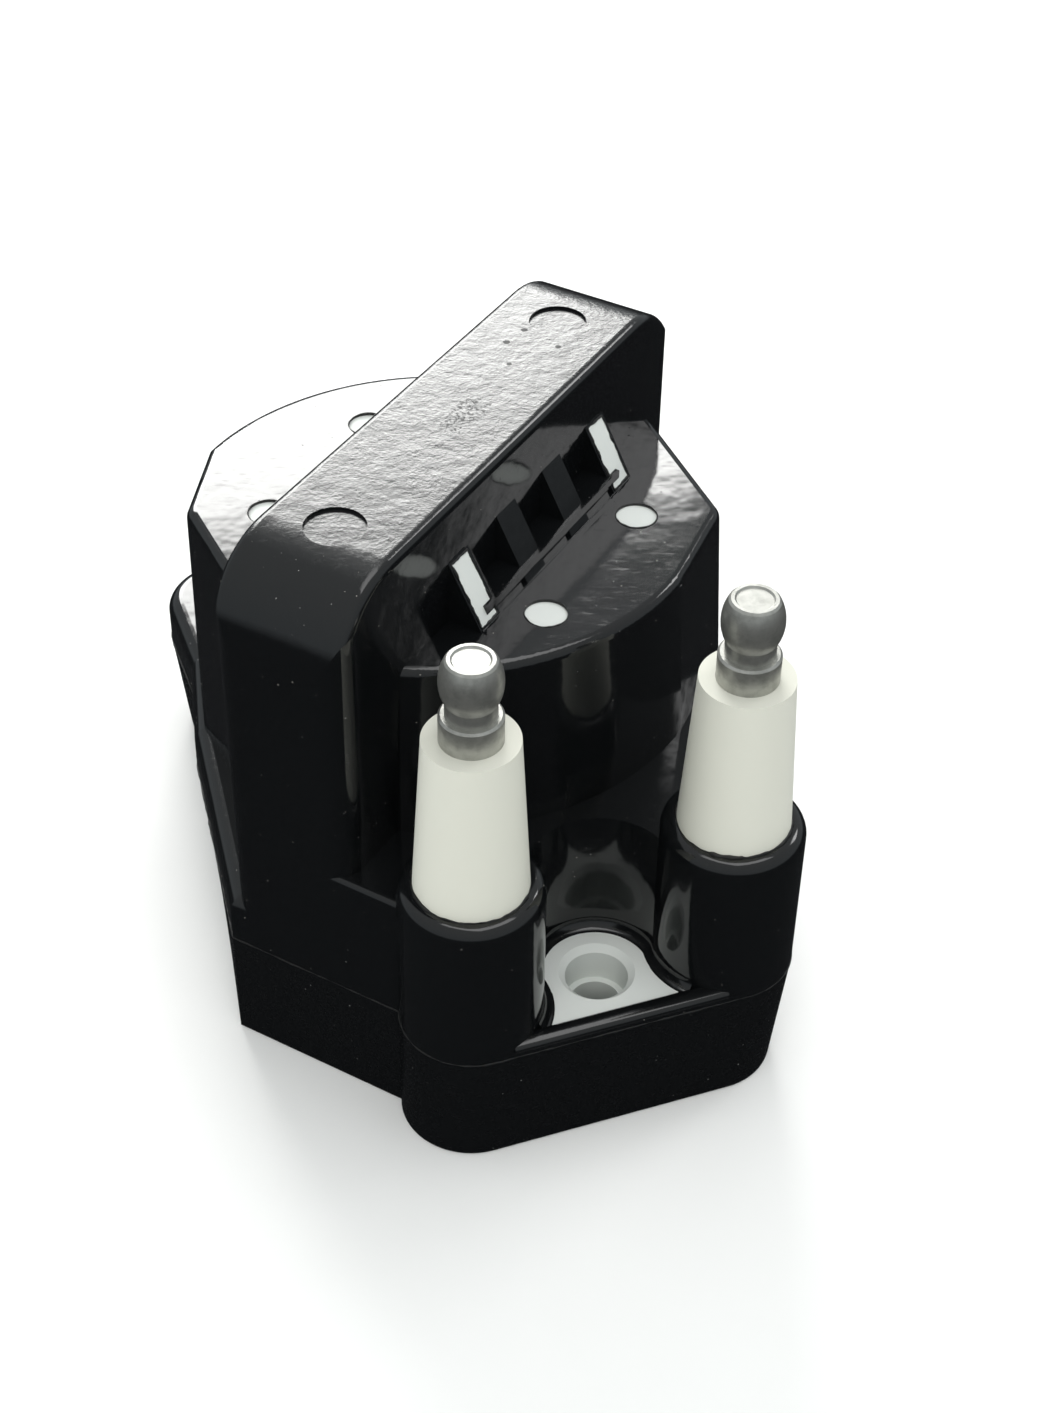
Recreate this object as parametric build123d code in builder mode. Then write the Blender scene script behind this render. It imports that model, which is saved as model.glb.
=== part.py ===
from build123d import *
import os
from math import atan2, cos, degrees, radians, sin, sqrt

# Twin-tower ignition coil, built as the pieces it comes apart into.
# Origin: centre of the long core hump, on the base's bottom face. +X runs along
# the row of the two towers, +Y goes to the back and +Z up. Millimetres.

# ---- driving dimensions -------------------------------------------------------------
tower_spacing = 31.75          # between the two high-tension towers
tower_shift = 4.32             # how far the pair's middle stands right of the origin
tower_row = 39.0               # from the origin forward to the row of towers
hump_angle = 40.5              # the core hump, turned from the row of towers
hump_length = 77.0
hump_width = 17.2
hump_top = 71.7
hump_end_radius = 11.0         # rounding of the hump's two top ends, seen from its side
hump_corner_radius = 3.5       # rounding of its four upright corners
hump_edge_radius = 1.2         # rounding of its two long top edges
wing_top = 56.0                # the plates that cover the windings, either side of the hump
front_deck = 33.0
rear_deck = 22.0
seam_height = 15.5             # where the base meets the upper housing
boss_radius = 8.45
boss_top = 36.8
floor_height = 16.2            # the white floors of the two screw wells
ear_length = 8.2               # height of the white mounting ears
bore_radius = 3.0              # screw holes
seat_radius = 3.77             # counterbore that takes the screw's shoulder
seat_depth = 5.0
mouth_chamfer = 0.8

# ---- worked-out places ---------------------------------------------------------------
slab = Plane(origin=(0, 0, 0), x_dir=(cos(radians(hump_angle)), sin(radians(hump_angle)), 0))
half_length = hump_length / 2
half_width = hump_width / 2
left_tower_x = tower_shift - tower_spacing / 2
right_tower_x = tower_shift + tower_spacing / 2


def along_hump(u, v):
    """Row-frame x, y of the point u along the hump and v to its left."""
    place = slab.from_local_coords(Vector(u, v, 0))
    return place.X, place.Y


def polar(centre, radius, angle):
    """Row-frame x, y at an angle in degrees on a circle."""
    return centre[0] + radius * cos(radians(angle)), centre[1] + radius * sin(radians(angle))


winding_shift = 1.5            # winding axis, right of the hump's middle
coil_x, coil_y = along_hump(winding_shift, 0)
front_coil = Plane(origin=(coil_x, coil_y, 0), x_dir=slab.x_dir)
rear_coil = Plane(origin=(coil_x, coil_y, 0), x_dir=-slab.x_dir)
front_row = Plane.XY
rear_row = Plane(origin=(0, 0, 0), x_dir=(-1, 0, 0))

# ---- windings and core dimensions ------------------------------------------------------
core_thickness = 13.0
core_left = -34.0              # ends of the core, along the hump
core_right = 35.0
leg_width = 8.0
centre_leg_width = 18.0
yoke_height = 8.5
core_bottom = 3.0
core_top = 67.0
air_gap = 0.5
leg_clearance = 0.2            # between the centre leg and the parts that it passes through

case_radius = 25.2
case_wall = 1.4
case_bottom = 12.2
case_floor = 1.6
case_top = 50.2
cover_top = 52.0

bobbin_bottom = 15.6
bobbin_top = 48.8
flange = 1.2
primary_barrel = 12.8
primary_outer = 16.2
tape_thickness = 0.3
primary_flange = 17.2
secondary_bore = 17.6
secondary_barrel = 18.8
secondary_outer = 22.6
rib_radius = 23.4
rib_thickness = 0.9
section_count = 8
section_pitch = (bobbin_top - bobbin_bottom - rib_thickness) / section_count

# ---- wing plates, gussets and windows, in the winding axis's own frame ------------------
front_plate = [                # root, two points of the arc, its end, shoulder and other root
    (-28.2, -8.6),
    (-17.4, -21.3),
    (3.0, -27.5),
    (17.4, -25.5),
    (31.0, -8.6),
]
rear_plate = [                 # the rear plate stands further out
    (-30.0, -8.6),
    (-19.0, -27.2),
    (3.5, -34.7),
    (15.8, -29.4),
    (30.2, -8.6),
]
front_draft = 1.08             # the front wing's outline at the seam, as a multiple of that at its top
rear_draft = 1.012             # the rear one stands nearly upright, clear of the rear screw
shoulder_rounding = 3.0
wing_rim_rounding = 1.2
rear_extra = 3.3               # the rear windows stand this much further out
window_radius = 2.5
window_spacing = 22.0
window_reach = 17.35
window_depth = 0.3
gusset_count = 4
gusset_pitch = 10.5
gusset_width = 4.2
gusset_foot = 12.9             # how far out from the winding axis a gusset ends
gusset_top = 64.0
step_height = 2.0
step_reach = 12.4
inlay_width = 3.4


# ======================================================================================
# Laminated core: an E stack, an I stack that closes it, and the shims that set the gap.
# ======================================================================================
core_ends = (core_left + leg_width / 2, core_right - leg_width / 2)
core_length = core_right - core_left
leg_bottom = core_bottom + yoke_height + air_gap
leg_top = core_top - yoke_height
leg_places = ((core_ends[0], leg_width), (winding_shift, centre_leg_width), (core_ends[1], leg_width))

with BuildPart() as e_core:
    with BuildSketch(slab.offset(leg_top)):
        with Locations(((core_left + core_right) / 2, 0)):
            Rectangle(core_length, core_thickness)
    extrude(amount=yoke_height)
    with BuildSketch(slab.offset(leg_bottom)):
        for place, width in leg_places:
            with Locations((place, 0)):
                Rectangle(width, core_thickness)
    extrude(amount=leg_top - leg_bottom)

with BuildPart() as i_core:
    with BuildSketch(slab.offset(core_bottom)):
        with Locations(((core_left + core_right) / 2, 0)):
            Rectangle(core_length, core_thickness)
    extrude(amount=yoke_height)

with BuildPart() as core_gap_shims:
    with BuildSketch(slab.offset(core_bottom + yoke_height)):
        for place, width in leg_places:
            with Locations((place, 0)):
                Rectangle(width, core_thickness)
    extrude(amount=air_gap)

leg_hole_width = centre_leg_width + 2 * leg_clearance
leg_hole_depth = core_thickness + 2 * leg_clearance

# ======================================================================================
# Windings, each on its own bobbin.
# ======================================================================================
left_tower = (left_tower_x, -tower_row)
right_tower = (right_tower_x, -tower_row)
left_socket = (-tower_shift - tower_spacing / 2, tower_row)
right_socket = (tower_spacing / 2 - tower_shift, tower_row)
post_bottom = 26.0
hv_wire = 0.6
hv_bend = 1.5
riser_bend = 1.2
primary_wire = 0.45
primary_bend = 0.9
primary_lead_height = 14.7
socket_top = 12.6


def toward_coil(place, radius):
    """Point on the line from a place to the winding axis, at a radius from that axis."""
    angle = degrees(atan2(place[1] - coil_y, place[0] - coil_x))
    return polar((coil_x, coil_y), radius, angle)


def wire(points, radius, bend):
    """Round wire swept along straight runs joined by tangent bends."""
    with BuildPart() as made:
        with BuildLine():
            path = FilletPolyline(*points, radius=bend)
        with BuildSketch(Plane(origin=path @ 0, z_dir=path % 0)):
            Circle(radius)
        sweep(path=path)
    return made


low_section = bobbin_bottom + rib_thickness + (section_pitch - rib_thickness) / 2
high_section = low_section + (section_count - 1) * section_pitch
riser_radius = 26.5
hv_run = 23.0
left_hv_lead = wire(
    [
        (*left_tower, post_bottom),
        (*left_tower, low_section),
        (*toward_coil(left_tower, secondary_outer), low_section),
    ],
    hv_wire,
    hv_bend,
)
right_hv_lead = wire(
    [
        (*right_tower, post_bottom),
        (*right_tower, hv_run),
        (*toward_coil(right_tower, riser_radius), hv_run),
        (*toward_coil(right_tower, riser_radius), high_section),
        (*toward_coil(right_tower, secondary_outer), high_section),
    ],
    hv_wire,
    riser_bend,
)


def primary_lead(socket):
    """Lead from a blade socket, under the secondary bobbin, up to the primary winding."""
    inner = toward_coil(socket, (primary_barrel + primary_outer) / 2)
    points = [
        (*socket, socket_top),
        (*socket, primary_lead_height),
        (*inner, primary_lead_height),
        (*inner, bobbin_bottom + flange),
    ]
    return wire(points, primary_wire, primary_bend)


left_primary_lead = primary_lead(left_socket)
right_primary_lead = primary_lead(right_socket)

with BuildPart() as primary_bobbin:
    with BuildSketch(front_coil.offset(bobbin_bottom)):
        Circle(primary_barrel)
        Rectangle(leg_hole_width, leg_hole_depth, mode=Mode.SUBTRACT)
    extrude(amount=bobbin_top - bobbin_bottom)
    for level in (bobbin_bottom, bobbin_top - flange):
        with BuildSketch(front_coil.offset(level)):
            Circle(primary_flange)
            Circle(primary_barrel, mode=Mode.SUBTRACT)
        extrude(amount=flange)
    add(left_primary_lead.part, mode=Mode.SUBTRACT)
    add(right_primary_lead.part, mode=Mode.SUBTRACT)


def ring(outer, inner, bottom, height):
    """Plain ring about the winding axis."""
    with BuildPart() as made:
        with BuildSketch(front_coil.offset(bottom)):
            Circle(outer)
            Circle(inner, mode=Mode.SUBTRACT)
        extrude(amount=height)
    return made


coil_height = bobbin_top - bobbin_bottom - 2 * flange
primary_winding = ring(primary_outer, primary_barrel, bobbin_bottom + flange, coil_height)
primary_tape = ring(primary_outer + tape_thickness, primary_outer, bobbin_bottom + flange, coil_height)

with BuildPart() as secondary_bobbin:
    with BuildSketch(front_coil.offset(bobbin_bottom)):
        Circle(secondary_barrel)
        Circle(secondary_bore, mode=Mode.SUBTRACT)
    extrude(amount=bobbin_top - bobbin_bottom)
    for rib in range(section_count + 1):
        with BuildSketch(front_coil.offset(bobbin_bottom + rib * section_pitch)):
            Circle(rib_radius)
            Circle(secondary_barrel, mode=Mode.SUBTRACT)
        extrude(amount=rib_thickness)

with BuildPart() as secondary_winding:
    for section in range(section_count):
        with BuildSketch(front_coil.offset(bobbin_bottom + rib_thickness + section * section_pitch)):
            Circle(secondary_outer)
            Circle(secondary_barrel, mode=Mode.SUBTRACT)
        extrude(amount=section_pitch - rib_thickness)

case_inner = case_radius - case_wall
with BuildPart() as potting_resin:
    with BuildSketch(front_coil.offset(bobbin_bottom)):
        Circle(case_inner)
        Circle(secondary_barrel, mode=Mode.SUBTRACT)
    extrude(amount=bobbin_top - bobbin_bottom)
    add(secondary_bobbin.part, mode=Mode.SUBTRACT)
    add(secondary_winding.part, mode=Mode.SUBTRACT)
    add(left_hv_lead.part, mode=Mode.SUBTRACT)
    add(right_hv_lead.part, mode=Mode.SUBTRACT)

# ======================================================================================
# White inner mouldings: the cup round the windings, its cover, and the two mounting ears.
# ======================================================================================
with BuildPart() as coil_case:
    with BuildSketch(front_coil.offset(case_bottom)):
        Circle(case_radius)
    extrude(amount=case_top - case_bottom)
    with BuildSketch(front_coil.offset(case_bottom + case_floor)):
        Circle(case_inner)
    extrude(amount=case_top - case_bottom, mode=Mode.SUBTRACT)
    with BuildSketch(front_coil.offset(case_bottom)):
        Rectangle(leg_hole_width, leg_hole_depth)
    extrude(amount=case_floor, mode=Mode.SUBTRACT)
    for lead in (left_hv_lead, right_hv_lead, left_primary_lead, right_primary_lead):
        add(lead.part, mode=Mode.SUBTRACT)

window_places = [(-window_spacing / 2, -window_reach), (window_spacing / 2, -window_reach)]
gusset_places = [(step - (gusset_count - 1) / 2) * gusset_pitch for step in range(gusset_count)]
inlay_margin = 0.15            # the inlay stays this far inside the gusset's ends
slope = (gusset_top - wing_top) / (gusset_foot - half_width)


def gusset_height(reach):
    """Height of a gusset's sloping face at a distance from the hump's middle plane."""
    return wing_top + slope * (gusset_foot - reach)


def upright_profile(frame, place, width, points):
    """Plate of a given width along the hump, drawn as reach and height, centred on a place."""
    origin = frame.from_local_coords(Vector(place + width / 2, 0, 0))
    plane = Plane(origin=origin, x_dir=-frame.y_dir, z_dir=-frame.x_dir)
    with BuildPart() as made:
        with BuildSketch(plane):
            with BuildLine():
                Polyline(*[(reach, height) for reach, height in points], close=True)
            make_face()
        extrude(amount=width)
    return made


inlay_near = half_width + inlay_margin
inlay_far = gusset_foot - inlay_margin
inlay_points = [
    (inlay_near, case_top),
    (inlay_far, case_top),
    (inlay_far, gusset_height(inlay_far)),
    (inlay_near, gusset_height(inlay_near)),
]
with BuildPart() as case_cover:
    with BuildSketch(front_coil.offset(case_top)):
        Circle(case_radius)
        Rectangle(leg_hole_width, leg_hole_depth, mode=Mode.SUBTRACT)
    extrude(amount=cover_top - case_top)
    for frame, extra in ((front_coil, 0), (rear_coil, rear_extra)):
        with BuildSketch(frame.offset(case_top)):
            with Locations(*[(along, out - extra) for along, out in window_places]):
                Circle(window_radius)
        extrude(amount=wing_top - window_depth - case_top)
        for place in (gusset_places[0], gusset_places[-1]):
            add(upright_profile(frame, place, inlay_width, inlay_points).part)

well_radius = 7.7
well_taper = 3.0               # degrees that the well's wall leans out
white_inset = 1.3              # width of the black rounding that frames the white floor
lip_depth = 2.65               # black lip in front of the white floor
hole_place = (tower_shift, -tower_row + 0.6)
front_face = tower_row + boss_radius


def well_outline(inset, front):
    """Floor of a screw well: a circle about the screw, opening forward between the bosses."""
    depth = front - tower_row
    with Locations((tower_shift, -tower_row - depth / 2)):
        Rectangle(tower_spacing, depth)
    with Locations((left_tower_x, -tower_row), (right_tower_x, -tower_row)):
        Circle(boss_radius + inset, mode=Mode.SUBTRACT)
    with Locations(hole_place):
        Circle(well_radius - inset)


def screw_passage(row):
    """Space for the mounting screw: bore, shoulder seat and chamfered mouth."""
    with BuildPart() as made:
        with BuildSketch(row):
            with Locations(hole_place):
                Circle(bore_radius)
        extrude(amount=floor_height)
        with BuildSketch(row.offset(floor_height - seat_depth)):
            with Locations(hole_place):
                Circle(seat_radius)
        extrude(amount=seat_depth)
        with BuildSketch(row.offset(floor_height - mouth_chamfer)):
            with Locations(hole_place):
                Circle(seat_radius)
        extrude(amount=mouth_chamfer, taper=-45)
    return made


def mount_ear(row, passage):
    """White block with the screw's passage through it."""
    with BuildPart() as made:
        with BuildSketch(row.offset(floor_height - ear_length)):
            well_outline(white_inset, front_face - lip_depth)
        extrude(amount=ear_length)
        add(passage.part, mode=Mode.SUBTRACT)
    return made


front_passage = screw_passage(front_row)
rear_passage = screw_passage(rear_row)
front_mount_ear = mount_ear(front_row, front_passage)
rear_mount_ear = mount_ear(rear_row, rear_passage)

# ======================================================================================
# High-tension towers and their terminal posts.
# ======================================================================================
tower_top = 57.8
tower_top_radius = 5.42
tower_foot_radius = 6.61
post_shank = 2.0
tower_rounding = 0.7
collar_radius = 3.55
collar_top = 61.3
neck_radius = 2.85
neck_top = 63.0
ball_radius = 3.5
ball_middle = 65.4
post_top = 68.6
dish_radius = 2.2
dish_depth = 0.2
edge_break = 0.25              # small chamfers on the post
tower_draft = (tower_foot_radius - tower_top_radius) / (tower_top - boss_top)


def tower(place):
    """Off-white insulating cone, its foot buried in the boss, its top edge rounded."""
    foot = tower_foot_radius + tower_draft * (boss_top - post_bottom)
    with BuildPart() as made:
        with BuildSketch(Plane(origin=(*place, 0), x_dir=(1, 0, 0), z_dir=(0, -1, 0))):
            with BuildLine():
                Polyline(
                    (post_shank, post_bottom),
                    (foot, post_bottom),
                    (tower_top_radius, tower_top),
                    (post_shank, tower_top),
                    close=True,
                )
            make_face()
            fillet(vertices().group_by(Axis.Z)[-1].sort_by(Axis.X)[-1], tower_rounding)
        revolve(axis=Axis((*place, 0), (0, 0, 1)))
    return made


def terminal_post(place):
    """Metal post: headed foot, shank, collar on the tower, neck, and the snap-on ball."""
    crown_height = post_top - edge_break
    with BuildPart() as made:
        with BuildSketch(Plane(origin=(*place, 0), x_dir=(1, 0, 0), z_dir=(0, -1, 0))):
            with BuildLine():
                Polyline(
                    (0, post_bottom),
                    (post_shank, post_bottom),
                    (post_shank, tower_top),
                    (collar_radius, tower_top),
                    (collar_radius, collar_top - edge_break),
                    (collar_radius - edge_break, collar_top),
                    (neck_radius, collar_top),
                    (neck_radius, neck_top),
                )
                ThreePointArc(
                    (neck_radius, neck_top), (ball_radius, ball_middle), (neck_radius, crown_height)
                )
                Polyline(
                    (neck_radius, crown_height),
                    (neck_radius - edge_break, post_top),
                    (dish_radius, post_top),
                    (dish_radius - dish_depth, post_top - dish_depth),
                    (0, post_top - dish_depth),
                    (0, post_bottom),
                )
            make_face()
        revolve(axis=Axis((*place, 0), (0, 0, 1)))
    return made


left_tower_insulator = tower(left_tower)
right_tower_insulator = tower(right_tower)
left_terminal_post = terminal_post(left_tower)
right_terminal_post = terminal_post(right_tower)

# ======================================================================================
# Primary blade sockets, open downwards, in the two rear bosses.
# ======================================================================================
socket_width = 8.0
socket_depth = 3.6
socket_wall = 0.45
socket_mouth = 1.0             # how far the socket sits up inside the base
socket_corner = 0.8


def blade_socket(place):
    """Folded brass receptacle for a flat blade, closed at its top."""
    with BuildPart() as made:
        with BuildSketch(Plane.XY.offset(socket_mouth)):
            with Locations(place):
                RectangleRounded(socket_width, socket_depth, socket_corner)
        extrude(amount=socket_top - socket_mouth)
        with BuildSketch(Plane.XY.offset(socket_mouth)):
            with Locations(place):
                hollow = (socket_width - 2 * socket_wall, socket_depth - 2 * socket_wall)
                RectangleRounded(*hollow, socket_corner - socket_wall)
        extrude(amount=socket_top - socket_mouth - 2 * socket_wall, mode=Mode.SUBTRACT)
    return made


left_primary_socket = blade_socket(left_socket)
right_primary_socket = blade_socket(right_socket)

# ======================================================================================
# Black housing. Its outer form is made whole, then hollowed and parted at the seam.
# ======================================================================================
side_break = 27.0              # where the ear's right side turns towards the hump
side_swell = (31.6, -13.0)     # point that it passes there, under the foot of the wing
corner_lean = 1.65             # the base's right corner leans in by this much at the bottom


def ear_outline(inset):
    """Outline of one ear: hump end, round the left boss, front face, right boss, right side."""
    left = (left_tower_x, -tower_row)
    right = (right_tower_x - inset, -tower_row)
    left_u = slab.to_local_coords(Vector(*left, 0)).X
    left_v = slab.to_local_coords(Vector(*left, 0)).Y
    meet_v = left_v + sqrt(boss_radius**2 - (left_u + half_length) ** 2)
    meet = along_hump(-half_length, meet_v)
    start = degrees(atan2(meet[1] - left[1], meet[0] - left[0])) % 360
    with BuildLine() as outline:
        Line(along_hump(-half_length, 0), meet)
        ThreePointArc(meet, polar(left, boss_radius, (start + 270) / 2), (left[0], left[1] - boss_radius))
        Line((left[0], left[1] - boss_radius), polar(right, boss_radius, -90))
        ThreePointArc(*[polar(right, boss_radius, angle) for angle in (-90, -45, 0)])
        Polyline(
            polar(right, boss_radius, 0),
            (right[0] + boss_radius, -side_break),
            (side_swell[0] - inset, side_swell[1]),
            along_hump(half_length, -half_width),
            along_hump(half_length, 0),
            along_hump(-half_length, 0),
        )
    make_face(outline.edges())


def wing_outline(points, spread):
    """Outline of a wing: an arc on the left, a shoulder on the right, straight across the hump."""
    start, halfway, end, shoulder, root = [(u * spread, v * spread) for u, v in points]
    with BuildLine() as outline:
        ThreePointArc(start, halfway, end)
        Polyline(end, shoulder, root, (root[0], 0), (start[0], 0), start)
    make_face(outline.edges())


def middle(frame, edge):
    """Middle of an edge, in a frame's own coordinates."""
    return frame.to_local_coords(edge.center())


def wing(frame, points, draft):
    """Cover over one side of the windings, leaning out a little towards the seam."""
    with BuildPart() as made:
        with BuildSketch(frame.offset(seam_height)):
            wing_outline(points, draft)
        with BuildSketch(frame.offset(wing_top)):
            wing_outline(points, 1)
        loft(ruled=True)
        uprights = [edge for edge in made.edges() if abs((edge % 0.5).Z) > 0.9]
        shoulder_place = points[3][0]
        fillet(min(uprights, key=lambda edge: abs(middle(frame, edge).X - shoulder_place)), shoulder_rounding)
        rim = made.part.faces().sort_by(Axis.Z)[-1].edges()
        fillet(rim.filter_by(lambda edge: middle(frame, edge).Y < -half_width), wing_rim_rounding)
    return made


front_wing = wing(front_coil, front_plate, front_draft)
rear_wing = wing(rear_coil, rear_plate, rear_draft)

with BuildPart() as hump:
    side_origin = slab.from_local_coords(Vector(0, half_width, 0))
    side_view = Plane(origin=side_origin, x_dir=slab.x_dir, z_dir=-slab.y_dir)
    with BuildSketch(side_view):
        with Locations((0, (seam_height + hump_top) / 2)):
            Rectangle(hump_length, hump_top - seam_height)
        fillet(vertices().group_by(Axis.Y)[-1], hump_end_radius)
    extrude(amount=hump_width)
    rims = [edge for edge in hump.edges() if abs(middle(slab, edge).Y) > half_width - 0.01]
    fillet([edge for edge in rims if edge.center().Z > seam_height + 1], hump_edge_radius)
    with BuildSketch(slab.offset(seam_height)):
        RectangleRounded(hump_length, hump_width, hump_corner_radius)
    extrude(amount=hump_top - seam_height, mode=Mode.INTERSECT)


def upper_features(frame):
    """Gussets and the low step between them, in the angle of hump and wing."""
    middle_width = gusset_pitch * (gusset_count - 1)
    step_points = [
        (half_width - 1, wing_top - 1),
        (step_reach, wing_top - 1),
        (step_reach, wing_top + step_height),
        (half_width - 1, wing_top + step_height),
    ]
    gusset_points = [
        (half_width - 1, wing_top - 1),
        (gusset_foot, wing_top - 1),
        (gusset_foot, wing_top),
        (half_width - 1, gusset_height(half_width - 1)),
    ]
    add(upright_profile(frame, 0, middle_width, step_points).part)
    for place in gusset_places:
        add(upright_profile(frame, place, gusset_width, gusset_points).part)


def boss(place, height, rounding):
    """Round column that carries a tower or a socket."""
    with BuildPart() as made:
        with BuildSketch(Plane.XY.offset(seam_height)):
            with Locations(place):
                Circle(boss_radius)
        extrude(amount=height - seam_height)
        fillet(made.part.edges().filter_by(GeomType.CIRCLE).sort_by(Axis.Z)[-1], rounding)
    return made


front_deck_rounding = 0.8
rear_deck_rounding = 2.0
boss_rounding = 1.7
recess_radius = 3.5
recess_depth = 0.35
recess_places = (-25.5, 23.5)


def ear(row, deck, rounding):
    """One ear of the upper housing, with its rounded deck edge and its open screw well."""
    with BuildPart() as made:
        with BuildSketch(row.offset(seam_height)):
            ear_outline(0)
        extrude(amount=deck - seam_height)
        deck_edges = made.part.faces().sort_by(Axis.Z)[-1].edges()
        inner = deck_edges.sort_by(SortBy.LENGTH)[-1]
        fillet(deck_edges - [inner], rounding)
        with BuildSketch(row.offset(floor_height)):
            well_outline(0, front_face + 1)
        extrude(amount=front_deck, mode=Mode.SUBTRACT)
        with BuildSketch(row.offset(floor_height)):
            with Locations(hole_place):
                Circle(well_radius)
        extrude(amount=front_deck, taper=-well_taper, mode=Mode.SUBTRACT)
    return made


with BuildPart() as case_space:
    with BuildSketch(front_coil.offset(case_bottom)):
        Circle(case_radius)
    extrude(amount=cover_top - case_bottom)

with BuildPart() as socket_spaces:
    with BuildSketch():
        with Locations(left_socket, right_socket):
            RectangleRounded(socket_width, socket_depth, socket_corner)
    extrude(amount=socket_top)

enclosed = [
    case_space,
    case_cover,
    e_core,
    i_core,
    core_gap_shims,
    left_hv_lead,
    right_hv_lead,
    left_primary_lead,
    right_primary_lead,
    socket_spaces,
    front_mount_ear,
    rear_mount_ear,
    front_passage,
    rear_passage,
    left_tower_insulator,
    right_tower_insulator,
    left_terminal_post,
    right_terminal_post,
]


with BuildPart() as upper_housing:
    add(ear(front_row, front_deck, front_deck_rounding).part)
    add(ear(rear_row, rear_deck, rear_deck_rounding).part)
    add(hump.part)
    add(front_wing.part)
    add(rear_wing.part)
    for place in (left_tower, right_tower):
        add(boss(place, boss_top, boss_rounding).part)
    for frame in (front_coil, rear_coil):
        upper_features(frame)
    for frame, extra in ((front_coil, 0), (rear_coil, rear_extra)):
        with BuildSketch(frame.offset(wing_top)):
            with Locations(*[(along, out - extra) for along, out in window_places]):
                Circle(window_radius)
        extrude(amount=-window_depth, mode=Mode.SUBTRACT)
    with BuildSketch(slab.offset(hump_top)):
        with Locations(*[(place, 0) for place in recess_places]):
            Circle(recess_radius)
    extrude(amount=-recess_depth, mode=Mode.SUBTRACT)
    for piece in enclosed:
        add(piece.part, mode=Mode.SUBTRACT)

with BuildPart() as lower_housing:
    for row in (front_row, rear_row):
        with BuildSketch(row):
            ear_outline(corner_lean)
        with BuildSketch(row.offset(seam_height)):
            ear_outline(0)
        loft()
    for piece in enclosed:
        add(piece.part, mode=Mode.SUBTRACT)

# ======================================================================================
# Labels and files.
# ======================================================================================
pieces = {
    "upper_housing": upper_housing,
    "lower_housing": lower_housing,
    "coil_case": coil_case,
    "case_cover": case_cover,
    "front_mount_ear": front_mount_ear,
    "rear_mount_ear": rear_mount_ear,
    "left_tower": left_tower_insulator,
    "right_tower": right_tower_insulator,
    "left_terminal_post": left_terminal_post,
    "right_terminal_post": right_terminal_post,
    "left_hv_lead": left_hv_lead,
    "right_hv_lead": right_hv_lead,
    "e_core": e_core,
    "i_core": i_core,
    "core_gap_shims": core_gap_shims,
    "primary_bobbin": primary_bobbin,
    "primary_winding": primary_winding,
    "primary_tape": primary_tape,
    "secondary_bobbin": secondary_bobbin,
    "secondary_winding": secondary_winding,
    "potting_resin": potting_resin,
    "left_primary_socket": left_primary_socket,
    "right_primary_socket": right_primary_socket,
    "left_primary_lead": left_primary_lead,
    "right_primary_lead": right_primary_lead,
}

os.makedirs("parts", exist_ok=True)
for name, piece in pieces.items():
    piece.part.label = name
    export_step(piece.part, f"parts/{name}.step")
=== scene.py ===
"""Looks of a twin-tower ignition coil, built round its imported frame.

The housing, towers, posts and ears come from the frame and get their finishes here. Added
pieces are the ones that moulding and handling leave behind: the ragged flash where parts
meet, the coves and lips of the screw wells, and the dust that sits on the gloss.
"""

from __future__ import annotations

import logging
import math
from dataclasses import dataclass
from enum import Enum
from typing import Any

import bmesh
import bpy
from mathutils import Matrix, Vector

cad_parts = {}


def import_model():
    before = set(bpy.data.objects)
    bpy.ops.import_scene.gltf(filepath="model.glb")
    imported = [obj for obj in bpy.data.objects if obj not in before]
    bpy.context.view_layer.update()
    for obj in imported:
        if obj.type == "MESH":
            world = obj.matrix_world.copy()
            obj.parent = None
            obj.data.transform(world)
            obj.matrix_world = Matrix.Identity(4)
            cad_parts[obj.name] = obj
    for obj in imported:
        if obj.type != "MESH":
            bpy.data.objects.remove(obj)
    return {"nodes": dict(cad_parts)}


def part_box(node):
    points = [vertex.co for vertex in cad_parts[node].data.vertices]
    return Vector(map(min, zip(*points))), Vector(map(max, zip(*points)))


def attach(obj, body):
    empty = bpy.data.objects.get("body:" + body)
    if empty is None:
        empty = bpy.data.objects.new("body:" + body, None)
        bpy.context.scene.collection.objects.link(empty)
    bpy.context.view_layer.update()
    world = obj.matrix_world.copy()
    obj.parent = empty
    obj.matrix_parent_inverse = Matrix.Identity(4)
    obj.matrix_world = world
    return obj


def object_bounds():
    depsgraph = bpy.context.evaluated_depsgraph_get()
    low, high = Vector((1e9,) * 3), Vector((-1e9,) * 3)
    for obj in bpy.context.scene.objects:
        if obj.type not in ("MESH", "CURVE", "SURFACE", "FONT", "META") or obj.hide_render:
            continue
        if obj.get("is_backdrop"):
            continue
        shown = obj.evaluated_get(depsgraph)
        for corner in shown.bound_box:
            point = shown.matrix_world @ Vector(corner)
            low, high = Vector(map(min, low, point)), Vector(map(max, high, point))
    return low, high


MM = 0.001
ROOT = "root"
HUMP_ANGLE = 40.5
SEAM = 15.5
WELL_FLOOR = 16.2
SHARP_ANGLE = 50.0
SPECK_EDGE = (0.04, 0.09)
DRIFT_STRIDE, SWELL_STRIDE = 7.3, 3.1
log = logging.getLogger("ignition_coil")

Colour = tuple[float, float, float, float]
Loop = list[Vector]
Span = tuple[float, float, float, float]


class Slot(Enum):
    """Material slot name of the black housing."""

    HOUSING = "black_housing"


# ---- node graphs ---------------------------------------------------------------------


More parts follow.
